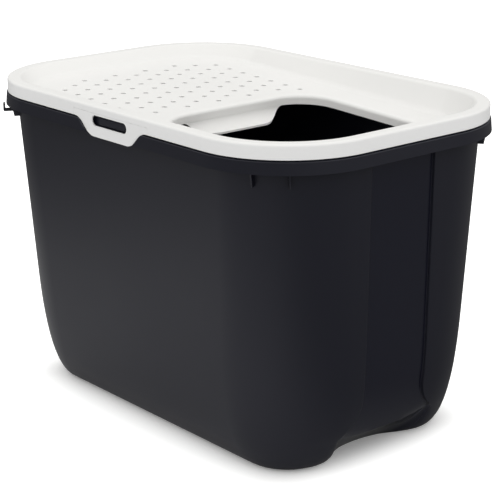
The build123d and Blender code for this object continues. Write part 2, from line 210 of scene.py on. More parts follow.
def tub_outline(z, inside):
    """Half length, half width and corner radius; the inside is shrunk and raised by the wall."""
    level = z - inside
    end_curve, side_curve = foot_curve(level, foot_end_inset), foot_curve(level, foot_side_inset)
    half_x = half_length - rim_overhang - (mouth - level) * tan(end_draft) - end_curve
    half_y = half_width - rim_overhang - (mouth - level) * tan(side_draft) - side_curve
    radius = mouth_corner_radius + (mouth - level) * corner_growth
    radius -= foot_corner_sharpening * (end_curve + side_curve) / 2
    return half_x - inside, half_y - inside, max(radius - inside, floor_corner_radius)


def end_wall(y, z, inside):
    """X of the tub's end, before its band is sunk, at a place across it."""
    half_x, half_y, radius = tub_outline(z, inside)
    beyond = min(max(y - (half_y - radius), 0.0), radius)
    return half_x - radius + sqrt(radius**2 - beyond**2)


def outline_place(distance, z, inside):
    """The place so far along a quarter of the outline, from the middle of the end."""
    half_x, half_y, radius = tub_outline(z, inside)
    straight = half_y - radius
    turn = (distance - straight) / radius
    if turn < 0:
        return half_x, distance
    if turn < pi / 2:
        return half_x - radius + radius * cos(turn), straight + radius * sin(turn)
    return half_x - radius - (turn - pi / 2) * radius, half_y


# %% The sunk band and the finger hollow
flare_low_y = band_half_width + flare_radius * (1 - cos(flare_angle))
flare_low_z = flare_height - flare_radius * sin(flare_angle)
scoop_side = flare_low_y - scoop_margin
scoop_floor_x = end_wall(0.0, crease_height, 0.0) - band_depth - scoop_run
scoop_side_top = flare_low_z + scoop_margin
middle_lean = scoop_run / crease_height
side_run = end_wall(0.0, scoop_side_top, 0.0) - band_depth - scoop_floor_x - scoop_hollow
side_lean = side_run / scoop_side_top


def band_side(z, inside):
    """Half the band's width at a height: straight above, flaring below."""
    radius = flare_radius - inside
    climb = max(flare_height - z, 0.0) / radius
    if climb >= sin(flare_angle):
        return scoop_side + inside - scoop_taper * max(1 - (z - inside) / scoop_side_top, 0.0)
    flare = band_half_width + flare_radius - radius * sqrt(1 - climb**2)
    return min(flare, scoop_side + inside)


def scoop_x(y, z, inside):
    """X of the hollow for the fingers: curved across the end, it leans out as it rises."""
    middle = scoop_floor_x + middle_lean * (z - inside)
    hollow = scoop_hollow + (side_lean - middle_lean) * (z - inside)
    return middle + hollow * (y / (scoop_side + inside)) ** 2 - inside


def crease_at(y, inside):
    """Height at which the hollow meets the band, found by halving."""
    low, high = crease_height / 2, flare_height
    for _ in range(30):
        middle = (low + high) / 2
        if scoop_x(y, middle, inside) < end_wall(y, middle, inside) - band_depth:
            low = middle
        else:
            high = middle
    return low


def sunk_x(y, z, crease, inside):
    """X of the end between the band's sides."""
    plain = end_wall(y, z, inside)
    if z >= crease:
        return plain - band_depth
    return min(plain, scoop_x(y, z, inside))


# %% One quarter of a ring
TINY = 1e-7
BAND_SHARES = (0.0, 0.15, 0.3, 0.45, 0.6, 0.75, 0.9)
CORNER_STEPS, SIDE_STEPS = 18, 5
CREASES = {
    inside: [crease_at(share * (scoop_side + inside), inside) for share in (*BAND_SHARES, 1.0)]
    for inside in (0.0, wall)
}


def quarter_ring(z, inside):
    """Places from the middle of an end to the middle of a long side, at a height."""
    creases = CREASES[inside]
    side = band_side(z, inside)
    side_crease = creases[-1]
    places = []
    for share, crease in zip(BAND_SHARES, creases):
        bent = z
        if z <= side_crease:
            bent = inside + (z - inside) * (crease - inside) / (side_crease - inside)
        elif z < flare_height:
            bent = crease + (z - side_crease) * (flare_height - crease) / (flare_height - side_crease)
        y = share * side
        places.append((sunk_x(y, bent, crease if bent < crease - TINY else bent, inside), y, bent))
    inner = sunk_x(side, z, side_crease if z < side_crease - TINY else z, inside)
    outer = end_wall(side, z, inside)
    low_share = max(1 - z / side_crease, 0.0)
    radius = band_edge_radius + (hollow_edge_radius - band_edge_radius) * low_share
    radius = min(radius, (outer - inner) / 2)
    half = radius * sqrt(0.5)
    # Across the band's side: x and y of the round edge, then share of the spread and of the rise.
    crossing = (
        (inner, -radius, -1.0, 0.0), (inner + radius - half, half - radius, -0.6, 0.1),
        (inner + radius, 0.0, -0.2, 0.35), (outer - radius, 0.0, 0.2, 0.65),
        (outer - radius + half, radius - half, 0.6, 0.9),
    )
    for x, beyond, spread, share in crossing:
        y = side + beyond + spread * scoop_spread * low_share
        eased = inner + (end_wall(y, z, inside) - inner) * share
        places.append((x + (eased - x) * low_share, y, z))
    half_x, half_y, corner = tub_outline(z, inside)
    start = side + radius + scoop_spread * low_share
    if start > half_y - corner:
        start = half_y - corner + corner * asin((start - (half_y - corner)) / corner)
    corner_end = half_y - corner + corner * pi / 2
    for step in range(CORNER_STEPS + 1):
        distance = start + (corner_end - start) * step / CORNER_STEPS
        places.append((*outline_place(distance, z, inside), z))
    for step in range(1, SIDE_STEPS + 1):
        distance = corner_end + (half_x - corner) * step / SIDE_STEPS
        places.append((*outline_place(distance, z, inside), z))
    return places


def whole_ring(z, inside):
    """The quarter mirrored round to a closed ring, whose last place is its first."""
    quarter = quarter_ring(z, inside)
    half = quarter + [(-x, y, z) for x, y, z in reversed(quarter)][1:]
    return half + [(x, -y, z) for x, y, z in reversed(half)][1:]


# %% Heights of the rings
side_crease, inner_crease = CREASES[0.0][-1], CREASES[wall][-1]
foot_levels = [level * MM for level in (0, 0.3, 1, 2, 3.5, 5.5, 8, 11, 15, 20, 26, 32, 38)]
flare_levels = [side_crease + (flare_height - side_crease) * share / 7 for share in range(8)]
wall_levels = [level * MM for level in (95, 108, 124, 142, 180, 230, 290, 345)]
levels = foot_levels + flare_levels + wall_levels
rings = [whole_ring(z, 0.0) for z in levels + [tub_top]]
for z in [tub_top] + list(reversed(levels)):
    raised = z
    if z < side_crease + MM / 10:
        raised = wall + z * (inner_crease - wall) / side_crease
    elif z < flare_height:
        share = (z - side_crease) / (flare_height - side_crease)
        raised = inner_crease + share * (flare_height - inner_crease)
    rings.append(whole_ring(raised, wall))
print("rings:", len(rings), "of", len(rings[0]), "places")

# %% Wrap the sheet
bpy.ops.object.select_all(action="DESELECT")
bpy.ops.mesh.primitive_grid_add(x_subdivisions=len(rings[0]) - 1, y_subdivisions=len(rings) - 1)
tub = bpy.context.object
tub.name = "tub"
begin(tub)
for point in tub.data.vertices:
    row, column = divmod(point.index, len(rings[0]))
    point.co = rings[row][column]
bpy.ops.object.mode_set(mode="EDIT")
bpy.ops.mesh.select_all(action="SELECT")
bpy.ops.mesh.remove_doubles(threshold=0.01 * MM)
print("tub", len(rings[0]) - 1, "columns", len(rings), "rows")

# %% [markdown]
# ## The sides of the finger hollow
# In the real tub the feet run into the hollow without an edge. Where the wrapped sheet turns
# from one into the other it has a fold, so its points there are smoothed level by level. Their
# heights stay, and so the feet stay flat on the floor.

# %% Soften the sides of the hollow
soft_reach = 32.0 * MM                   # to each side of the hollow's side
soft_above = 3.0 * MM                    # past the crease
soft_start = 190.0 * MM                  # from the middle of the tub
choose(tub, "VERT", lambda point: point.co.z < side_crease + soft_above
       and abs(point.co.x) > soft_start
       and abs(abs(point.co.y) - scoop_side) < soft_reach)
bpy.ops.mesh.vertices_smooth(factor=0.5, repeat=8, xaxis=True, yaxis=True, zaxis=False)
print("softened", tub.data.total_vert_sel, "points")

# %% [markdown]
# ## The tub's floor and finish
# The sheet still has no floor, inside or out: both are flat, so one face fills each. The band in
# the ends of the real tub looks smoother than the walls round it. A value on each point, called
# polish, marks it for the material.

# %% Floor, shading and polish
for floor_z in (0.0, wall):
    choose(tub, "VERT", lambda point: abs(point.co.z - floor_z) < MM / 1000)
    bpy.ops.mesh.edge_face_add()
bpy.ops.mesh.select_all(action="SELECT")
bpy.ops.mesh.normals_make_consistent(inside=False)
smooth(tub, 32)
polish = tub.data.attributes.new("polish", "FLOAT", "POINT")
for point in tub.data.vertices:
    x, y, z = point.co
    sunk = abs(y) < band_side(z, 0.0) - band_edge_radius / 2 and abs(x) > half_length / 2
    polish.data[point.index].value = 1.0 if sunk else 0.0
print("polished points:", sum(1 for spot in polish.data if spot.value > 0.5))

# %% [markdown]
# ## The rim of the tub
# Round the mouth the moulding turns out into a flange that hides its own hollow. A thin
# upstand on it carries the lid, small ribs stiffen the corners, and one corner has a hook for
# the litter scoop. All of that is exact in the CAD model already. So the rim is a merged copy
# of the CAD node without the tub's walls, which the wrapped sheet has replaced, and its cut
# edges are pushed a little way into that sheet.


# %% The rim, from the CAD model
def depth_in_tub(x, y, z):
    """How far a place lies inside the tub's outer surface, seen from above."""
    half_x, half_y, radius = tub_outline(z, 0.0)
    beyond_x = max(abs(x) - (half_x - radius), 0.0)
    beyond_y = max(abs(y) - (half_y - radius), 0.0)
    return radius - hypot(beyond_x, beyond_y)


def merged_copy(node, name):
    """A copy of a CAD node with its doubled points merged."""
    bpy.ops.object.select_all(action="DESELECT")
    piece = frame["nodes"][node].copy()
    piece.data = piece.data.copy()
    piece.name = name
    piece.parent = None
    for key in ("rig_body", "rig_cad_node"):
        del piece[key]
    bpy.context.scene.collection.objects.link(piece)
    begin(piece)
    bpy.ops.object.mode_set(mode="EDIT")
    bpy.ops.mesh.select_all(action="SELECT")
    bpy.ops.mesh.remove_doubles(threshold=0.01 * MM)
    return piece


SKIN = 0.3 * MM
TUCK = 0.996                             # the cut edges, drawn this much towards the middle
plate_underside = flange_top - wall
rim = merged_copy("bin", "rim")


def is_tub_wall(face):
    """Whether a face belongs to the tub and not to its rim."""
    x, y, z = face.center
    if z > plate_underside - SKIN and abs(face.normal.z) > 0.9:
        return False
    return depth_in_tub(x, y, z) > -SKIN


choose(rim, "FACE", is_tub_wall)
bpy.ops.mesh.delete(type="FACE")
cut = open_edges(rim, lambda place: abs(depth_in_tub(*place)) < SKIN and place.z < flange_top - SKIN)
extrude_to(rim, lambda place: Vector((place.x * TUCK, place.y * TUCK, place.z)))
smooth(rim, 30)
print("rim: cut edges pushed in:", cut)

# %% [markdown]
# ## The lid
# The lid is one white moulding of even thickness: a skirt, a flat crest, a slope that rolls
# over and down, and a deck that falls gently towards the entry. Such a shape grows well from
# a flat plate: its corners are rounded, the plate is raised by the skirt, and then inset again
# and again, each time a little further in and down. The tilt, the holes and the entry come
# after, and the wall is given last, so that top and underside stay parallel.

# %% Lid sizes
crest_edge_radius = 3.0 * MM
crest_width = 14.0 * MM
crest_roll_radius = 5.0 * MM
slope_angle = radians(60.0)
slope_foot_radius = 12.0 * MM
deck_depth = 25.8 * MM
deck_fall = tan(radians(2.31))
slope_drop = deck_depth - (crest_roll_radius + slope_foot_radius) * (1 - cos(slope_angle))
slope_run = slope_drop / tan(slope_angle)
slope_width = slope_run + (crest_roll_radius + slope_foot_radius) * sin(slope_angle)
deck_half_length = half_length - crest_width - slope_width
print("deck: half length", round(deck_half_length, 4), "slope width", round(slope_width, 4))


def deck_height(x):
    """Height of the deck's upper face at x."""
    return height - deck_depth - x * deck_fall


def rounded_depth(x, y, middle_x, half_x, half_y, radius):
    """How far a place lies inside a rounded rectangle, seen from above."""
    beyond_x = max(abs(x - middle_x) - (half_x - radius), 0.0)
    beyond_y = max(abs(y) - (half_y - radius), 0.0)
    return radius - hypot(beyond_x, beyond_y)


def lid_depth(place):
    """How far a place lies inside the lid's outline, seen from above."""
    return rounded_depth(place.x, place.y, 0.0, half_length, half_width, corner_radius)


# %% Plate, skirt, crest and slope
def arc_steps(radius, angle, count, rising):
    """Steps (inwards, up) round an arc; rising starts upright, otherwise it starts level."""
    turns = [angle * step / count for step in range(count + 1)]
    if rising:
        spots = [(radius * (1 - cos(t)), radius * sin(t)) for t in turns]
    else:
        spots = [(radius * sin(t), -radius * (1 - cos(t))) for t in turns]
    return [(b[0] - a[0], b[1] - a[1]) for a, b in zip(spots, spots[1:])]


profile = arc_steps(crest_edge_radius, pi / 2, 6, rising=True)
profile += [(crest_width - crest_edge_radius, 0.0)]
profile += arc_steps(crest_roll_radius, slope_angle, 6, rising=False)
profile += [(slope_run / 2, -slope_drop / 2)] * 2
profile += reversed(arc_steps(slope_foot_radius, slope_angle, 8, rising=False))

bpy.ops.object.select_all(action="DESELECT")
bpy.ops.mesh.primitive_plane_add(size=1.0, location=(0.0, 0.0, skirt_bottom))
cover = bpy.context.object
cover.name = "cover"
begin(cover)
bpy.ops.object.mode_set(mode="EDIT")
bpy.ops.mesh.select_mode(type="VERT")
bpy.ops.mesh.select_all(action="SELECT")
bpy.ops.transform.resize(value=(2 * half_length, 2 * half_width, 1.0))
bpy.ops.mesh.bevel(offset=corner_radius, segments=28, affect="VERTICES")
bpy.ops.mesh.extrude_region_move(
    TRANSFORM_OT_translate={"value": (0.0, 0.0, height - crest_edge_radius - skirt_bottom)}
)
for inwards, up in profile:
    bpy.ops.mesh.inset(thickness=inwards, depth=up)
bpy.ops.mesh.delete(type="ONLY_FACE")
choose(cover, "FACE", lambda face: abs(face.center.z - skirt_bottom) < MM / 10)
bpy.ops.mesh.delete(type="ONLY_FACE")
choose(cover, "VERT", lambda point: lid_depth(point.co) > crest_width + MM / 100)
place_chosen(cover, lambda place: Vector(
    (place.x, place.y, place.z - place.x * deck_fall * (height - place.z) / deck_depth)
))
bpy.ops.object.mode_set(mode="OBJECT")
print("cover:", len(cover.data.polygons), "faces round the deck")

# %% [markdown]
# ## The deck, its litter holes and the entry
# The deck is flat, so it can be filled in one go between outlines that lie in its plane: the
# foot of the slope, the entry and one circle for each hole. The holes stand in staggered rows.
# In the real moulding their upper edges are softened, so each circle gets an inner one, which
# is lowered once the wall is there.

# %% Entry and holes
entry_end_x = deck_half_length - 34.0 * MM
entry_half_length, entry_half_width = 115.0 * MM, 119.0 * MM
entry_middle_x = entry_end_x - entry_half_length
entry_start_x = entry_middle_x - entry_half_length
entry_corner_radius = 48.0 * MM
collar_edge_radius = 4.5 * MM
hole_radius = 3.5 * MM
hole_softness = 0.9 * MM
hole_dish = 0.5 * MM
hole_pitch = 27.93 * MM
row_pitch = hole_pitch * sin(pi / 3)
first_hole_x = 33.2 * MM - deck_half_length
side_rows = 5
holes_per_row = 7
entry_gap = 20.0 * MM


def entry_edge_x(y):
    """Where the entry begins on a line along X at y."""
    beyond = min(max(abs(y) - (entry_half_width - entry_corner_radius), 0.0), entry_corner_radius)
    return entry_start_x + entry_corner_radius - sqrt(entry_corner_radius**2 - beyond**2)


hole_centres = []
for row in range(-side_rows, side_rows + 1):
    shift = 2 if abs(row) == side_rows else (row + side_rows) % 2
    start_x = first_hole_x + shift * hole_pitch / 2
    room = entry_edge_x(row * row_pitch) - entry_gap - start_x
    for hole in range(min(holes_per_row, int(room / hole_pitch) + 1)):
        hole_centres.append((start_x + hole * hole_pitch, row * row_pitch))

choose(cover, "VERT", lambda point: False)
bpy.ops.mesh.primitive_plane_add(size=1.0, location=(entry_middle_x, 0.0, height))
bpy.ops.transform.resize(
    value=(2 * (entry_half_length + collar_edge_radius), 2 * (entry_half_width + collar_edge_radius), 1.0),
)
bpy.ops.mesh.bevel(offset=entry_corner_radius + collar_edge_radius, segments=14, affect="VERTICES")
bpy.ops.mesh.delete(type="ONLY_FACE")
for x, y in hole_centres:
    bpy.ops.mesh.primitive_circle_add(
        vertices=16, radius=hole_radius + hole_softness, location=(x, y, height)
    )

bpy.ops.object.mode_set(mode="OBJECT")
choose(cover, "VERT", lambda point: abs(point.co.z - height) < MM / 10
       and lid_depth(point.co) > crest_width + slope_width)
place_chosen(cover, lambda place: Vector((place.x, place.y, deck_height(place.x))))
count = open_edges(cover, lambda place: lid_depth(place) > crest_width)
bpy.ops.mesh.fill(use_beauty=True)
print("deck filled between", count, "edges;", len(hole_centres), "holes")


# %% [markdown]
# ## The entry's rolled edge and collar
# A cat steps over this edge, so the real one rolls over softly and runs straight down as a
# collar. The open edge that the fill has left is extruded round a quarter circle and then
# down. The holes' edges get their inner circles in the same way.

# %% The entry's rolled edge and collar
collar_foot = wall / 2 + 10.5 * MM       # under the deck


def entry_outward(place):
    """Direction away from the entry, level, at a place on its edge."""
    from_x, from_y = place.x - entry_middle_x, place.y
    beyond_x = max(abs(from_x) - (entry_half_length - entry_corner_radius), 0.0)
    beyond_y = max(abs(from_y) - (entry_half_width - entry_corner_radius), 0.0)
    away = Vector((beyond_x * (1 if from_x > 0 else -1), beyond_y * (1 if from_y > 0 else -1), 0.0))
    return away.normalized()


def entry_depth(place):
    """How far a place lies inside the entry, seen from above."""
    return rounded_depth(
        place.x, place.y, entry_middle_x, entry_half_length, entry_half_width, entry_corner_radius
    )


open_edges(cover, lambda place: abs(entry_depth(place) + collar_edge_radius) < MM / 10)
for inwards, up in arc_steps(collar_edge_radius, pi / 2, 6, rising=False):
    extrude_to(cover, lambda place: place - entry_outward(place) * inwards + Vector((0.0, 0.0, up)))
extrude_to(cover, lambda place: place - Vector((0.0, 0.0, collar_foot - collar_edge_radius)))


def nearest_hole(place):
    """Centre of the hole that a place is nearest to."""
    return min(hole_centres, key=lambda centre: hypot(place.x - centre[0], place.y - centre[1]))


def toward_hole(place, radius):
    """The place moved level to a radius about its own hole."""
    x, y = nearest_hole(place)
    share = radius / hypot(place.x - x, place.y - y)
    return Vector((x + (place.x - x) * share, y + (place.y - y) * share, place.z))


def in_hole_field(place, radius):
    """Whether a place lies on a circle of that radius about some hole."""
    x, y = nearest_hole(place)
    return abs(hypot(place.x - x, place.y - y) - radius) < MM / 10


open_edges(cover, lambda place: in_hole_field(place, hole_radius + hole_softness))
extrude_to(cover, lambda place: toward_hole(place, hole_radius))
bpy.ops.object.mode_set(mode="OBJECT")
print("cover:", len(cover.data.polygons), "faces with deck, holes and collar")

# %% [markdown]
# ## Room for the latch tabs
# Each long side of the skirt has a gap that its tab fills. The skirt's long face is cut along
# three lines with bisect, and the piece between them is taken out.

# %% Tab gaps
tab_middle_x = 4.8 * MM
tab_half_root = 71.0 * MM
tab_root = skirt_bottom + 8.1 * MM
SKIRT_TEST = 0.05 * MM


def on_long_side(face):
    """Whether a face belongs to the upright part of the skirt's long sides."""
    upright_part = face.center.z < height - crest_edge_radius
    return upright_part and abs(abs(face.center.y) - half_width) < SKIRT_TEST


for cut_place, cut_direction in (
    ((tab_middle_x - tab_half_root, 0.0, 0.0), (1.0, 0.0, 0.0)),
    ((tab_middle_x + tab_half_root, 0.0, 0.0), (1.0, 0.0, 0.0)),
    ((0.0, 0.0, tab_root), (0.0, 0.0, 1.0)),
):
    choose(cover, "FACE", on_long_side)
    bpy.ops.mesh.bisect(plane_co=cut_place, plane_no=cut_direction)
choose(cover, "FACE", lambda face: on_long_side(face) and face.center.z < tab_root
       and abs(face.center.x - tab_middle_x) < tab_half_root)
bpy.ops.mesh.delete(type="FACE")

# %% The wall of the lid
bpy.ops.mesh.select_all(action="SELECT")
bpy.ops.mesh.normals_make_consistent(inside=False)
bpy.ops.object.mode_set(mode="OBJECT")
crest_up = [f.normal.z for f in cover.data.polygons if abs(f.center.z - height) < MM / 100]
if min(crest_up) < 0:
    bpy.ops.object.mode_set(mode="EDIT")
    bpy.ops.mesh.flip_normals()
thicken(cover, wall)
choose(cover, "VERT", lambda point: in_hole_field(point.co, hole_radius)
       and abs(point.co.z - deck_height(point.co.x)) < MM / 10 and entry_depth(point.co) < 0)
place_chosen(cover, lambda place: place - Vector((0.0, 0.0, hole_dish)))

# %% [markdown]
# ## The step under the deck's edge
# In front of the entry the collar runs on down and curls forward into a small step, where a
# paw can rest and drop its litter. It leaves the collar in two hollow curves, narrows all the
# way and ends in two round corners. A sheet of points is laid along the curl, each row as wide
# as the step is there, and the sheet is given the lid's wall.

# %% Step
step_tip_half, step_shoulder = 36.0 * MM, 6.0 * MM
step_curl = 13.4 * MM
step_reach = 18.5 * MM                   # from the entry's edge to the step's
step_fullness, step_roundness = 1.3, 0.8   # powers that shape its sides and its corners
step_drop = 25.0 * MM
step_root_half = entry_half_width - entry_corner_radius
step_top_z = deck_height(entry_start_x) - collar_foot
step_z = deck_height(entry_start_x) - step_drop
upright = step_top_z - (step_z + step_curl)
step_length = upright + step_curl * pi / 2 + step_reach - step_curl


def along_step(distance):
    """Place (x, z) so far down the upright, round the curl and out along the step."""
    if distance <= upright:
        return entry_start_x, step_top_z - distance
    turn = (distance - upright) / step_curl
    if turn < pi / 2:
        return entry_start_x + step_curl * (1 - cos(turn)), step_z + step_curl * (1 - sin(turn))
    return entry_start_x + step_curl + (turn - pi / 2) * step_curl, step_z


def step_half_at(distance):
    """Half the step's width so far along it: it narrows all the way, and its corners are round."""
    above = max(step_shoulder - distance, 0.0)
    shoulder = step_shoulder - sqrt(step_shoulder**2 - above**2)
    along = min(distance / step_length, 1.0)
    taper = (1 - along**step_fullness) ** step_roundness
    return step_tip_half + (step_root_half - step_tip_half) * taper + shoulder


upper_rows = [step_shoulder * (1 - cos(pi / 2 * k / 6)) for k in range(6)]
lower_rows = [step_shoulder + (step_length - step_shoulder) * sin(pi / 2 * k / 16) for k in range(17)]
step_rows = upper_rows + lower_rows
STEP_COLUMNS = 12
bpy.ops.object.mode_set(mode="OBJECT")
bpy.ops.object.select_all(action="DESELECT")
bpy.ops.mesh.primitive_grid_add(x_subdivisions=STEP_COLUMNS, y_subdivisions=len(step_rows) - 1)
step = bpy.context.object
begin(step)
for point in step.data.vertices:
    row, column = divmod(point.index, STEP_COLUMNS + 1)
    x, z = along_step(step_rows[row])
    point.co = (x, step_half_at(step_rows[row]) * (2 * column / STEP_COLUMNS - 1), z)
bpy.ops.object.mode_set(mode="EDIT")
bpy.ops.mesh.select_all(action="SELECT")
bpy.ops.object.mode_set(mode="OBJECT")
if step.data.polygons[STEP_COLUMNS * len(step_rows) // 2].normal.z < 0:
    bpy.ops.object.mode_set(mode="EDIT")
    bpy.ops.mesh.flip_normals()
thicken(step, wall)
bpy.ops.object.select_all(action="DESELECT")
step.select_set(True)
cover.select_set(True)
bpy.context.view_layer.objects.active = cover
bpy.ops.object.join()
smooth(cover, 32)

# %% [markdown]
# ## The latch tabs
# A tab is a tongue of the skirt itself, with a slot that snaps over a catch on the tub. It is
# flat, so its outline is drawn once as eight corners, four of which are rounded with bevel,
# and the slot is a rounded plate inside it. The space between the two outlines is filled and
# thickened. The rear tab is the same outline on the other side.

# %% Latch tabs
tab_foot = skirt_bottom - 19.4 * MM
tab_half_shoulder, tab_half_foot = 60.0 * MM, 40.0 * MM
tab_curve = 20.0 * MM
slot_middle_x = tab_middle_x - 0.8 * MM
slot_half_length, slot_height = 33.2 * MM, 12.2 * MM
slot_low = tab_foot + 12.9 * MM
tab_wall = 1.4 * MM                      # thickness of the tabs
tab_play = 0.2 * MM                      # room for the tab to turn in its gap
lean = (tab_half_shoulder - tab_half_foot) / (skirt_bottom - tab_foot)
tangent = tab_curve * tan((pi / 2 - asin(lean / hypot(1.0, lean))) / 2)


def latch_tab(name, side):
    """The tab of one long side: -1 is the front, 1 the rear."""
    corners = [
        (tab_half_root - tab_play, tab_root - tab_play), (tab_half_root - tab_play, skirt_bottom),
        (tab_half_shoulder, skirt_bottom), (tab_half_foot, tab_foot),
    ]
    corners += [(-x, z) for x, z in reversed(corners)]
    bpy.ops.object.select_all(action="DESELECT")
    bpy.ops.mesh.primitive_circle_add(vertices=len(corners), radius=tab_half_root)
    tab = bpy.context.object
    tab.name = name
    begin(tab)
    for point, (x, z) in zip(tab.data.vertices, corners):
        point.co = (tab_middle_x + x, z, 0.0)
    rounded = {2, 3, 4, 5}
    choose(tab, "VERT", lambda point: point.index in rounded)
    bpy.ops.mesh.bevel(offset=tangent, segments=8, affect="VERTICES")
    bpy.ops.mesh.select_all(action="DESELECT")
    bpy.ops.mesh.primitive_plane_add(size=1.0, location=(slot_middle_x, slot_low + slot_height / 2, 0.0))
    bpy.ops.transform.resize(value=(2 * slot_half_length, slot_height, 1.0))
    bpy.ops.mesh.bevel(offset=slot_height / 2 - 0.001 * MM, segments=8, affect="VERTICES")
    bpy.ops.mesh.delete(type="ONLY_FACE")
    bpy.ops.mesh.select_all(action="SELECT")
    bpy.ops.mesh.fill(use_beauty=True)
    bpy.ops.mesh.select_all(action="SELECT")
    place_chosen(tab, lambda place: Vector((place.x, side * half_width, place.y)))
    bpy.ops.object.mode_set(mode="OBJECT")
    if tab.data.polygons[0].normal.y * side < 0:
        bpy.ops.object.mode_set(mode="EDIT")
        bpy.ops.mesh.select_all(action="SELECT")
        bpy.ops.mesh.flip_normals()
    thicken(tab, tab_wall)
    smooth(tab, 32)
    return tab


front_tab = latch_tab("front_tab", -1)
rear_tab = latch_tab("rear_tab", 1)

# %% [markdown]
# ## A short way to write shader maths
# Moulded plastic looks real through small changes: a fine grain in the surface, and gloss
# that differs a little from place to place. Both come from noise textures. Wiring Math nodes
# by hand hides the formula that turns them into a surface, so a small class wraps a socket
# and adds the node for each operator, and the code below reads like the formula.


# %% Shader maths
class Value:
    """A shader socket that can be added, subtracted and multiplied like a number."""

    def __init__(self, tree, socket):
        """Keeps the socket and the tree it is in."""
        self.tree, self.socket = tree, socket

    def node(self, kind, settings=(), outlet=0, **inputs):
        """Adds a node of a type, with its settings first and then its sockets."""
        made = self.tree.nodes.new("ShaderNode" + kind)
        for name, setting in dict(settings).items():
            setattr(made, name, setting)
        for name, value in inputs.items():
            socket = made.inputs[int(name[2:]) if name.startswith("in") else name.replace("_", " ")]
            if isinstance(value, Value):
                self.tree.links.new(value.socket, socket)
            else:
                socket.default_value = value
        return Value(self.tree, made.outputs[outlet])

    def maths(self, operation, first, second):
        """A Math node on two values, either of which may be a plain number."""
        return self.node("Math", {"operation": operation}, in0=first, in1=second)

    def __add__(self, other):
        return self.maths("ADD", self, other)

    def __radd__(self, other):
        return self.maths("ADD", other, self)

    def __sub__(self, other):
        return self.maths("SUBTRACT", self, other)

    def __rsub__(self, other):
        return self.maths("SUBTRACT", other, self)

    def __mul__(self, other):
        return self.maths("MULTIPLY", self, other)

    def __rmul__(self, other):
        return self.maths("MULTIPLY", other, self)

    def noise(self, scale, detail=2.0):
        """Noise on this position, from 0 to 1."""
        return self.node("TexNoise", Vector=self, Scale=scale, Detail=detail)

    def mix(self, low, high):
        """A colour between two others, led by this value."""
        return self.node(
            "Mix", {"data_type": "RGBA"}, outlet=2, in0=self, in6=(*low, 1.0), in7=(*high, 1.0)
        )

    def eased(self, start, end, low=0.0, high=1.0):
        """Goes softly from low to high while this value goes from start to end."""
        return self.node(
            "MapRange", {"interpolation_type": "SMOOTHSTEP"},
            Value=self, From_Min=start, From_Max=end, To_Min=low, To_Max=high,
        )


# %% [markdown]
# ## The two plastics
# Both mouldings are polypropylene with a satin finish: the grain of the mould is finer than a
# millimetre, so it only blurs reflections, and the gloss drifts a little over the surface. The
# lid is a slightly warm white. The tub is a deep anthracite with a trace of blue.


# %% Plastics
def plastic(name, shade, sheen, roughness, polish_gain, grain_depth):
    """Satin moulded plastic: one colour, a fine grain, and gloss that drifts softly."""
    material = bpy.data.materials.new(name)
    material.use_nodes = True
    tree = material.node_tree
    shader = tree.nodes["Principled BSDF"]
    shader.inputs["Specular Tint"].default_value = (*sheen, 1.0)
    place = Value(tree, tree.nodes.new("ShaderNodeTexCoord").outputs["Object"])
    cloud = place.noise(7.0, detail=3.0)
    grain = place.noise(1100.0, detail=1.0)
    polished = place.node("Attribute", {"attribute_name": "polish"}, outlet=2)
    gloss = roughness + (cloud - 0.5) * 0.06 - polished * polish_gain
    tint = cloud.mix([c * 0.98 for c in shade], [min(c * 1.02, 1.0) for c in shade])
    bump = place.node("Bump", Strength=1.0, Distance=grain_depth, Height=grain)
    tree.links.new(tint.socket, shader.inputs["Base Color"])
    tree.links.new(gloss.socket, shader.inputs["Roughness"])
    tree.links.new(bump.socket, shader.inputs["Normal"])
    return material


lid_plastic = plastic(
    "white_satin_plastic", shade=(0.85, 0.845, 0.832), sheen=(1.0, 1.0, 1.0),
    roughness=0.45, polish_gain=0.0, grain_depth=0.006 * MM,
)
bin_plastic = plastic(
    "anthracite_satin_plastic", shade=(0.0062, 0.0066, 0.0130), sheen=(0.93, 0.93, 1.0),
    roughness=0.42, polish_gain=0.24, grain_depth=0.006 * MM,
)

for piece, plastic_used, slot, body, node in (
    (tub, bin_plastic, "bin_plastic", "bin", "bin"),
    (rim, bin_plastic, "bin_plastic", "bin", "bin"),
    (cover, lid_plastic, "lid_plastic", "lid", "lid"),
    (front_tab, lid_plastic, "lid_plastic", "front_tab", "front_latch_tab"),
    (rear_tab, lid_plastic, "lid_plastic", "rear_tab", "rear_latch_tab"),
):
    piece.data.materials.clear()
    piece.data.materials.append(plastic_used)
    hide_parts(node)
    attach(piece, body)
for node, node_object in frame["nodes"].items():
    node_object.data.materials.clear()
    node_object.data.materials.append(bin_plastic if node == "bin" else lid_plastic)
print("materials:", lid_plastic.name, bin_plastic.name)
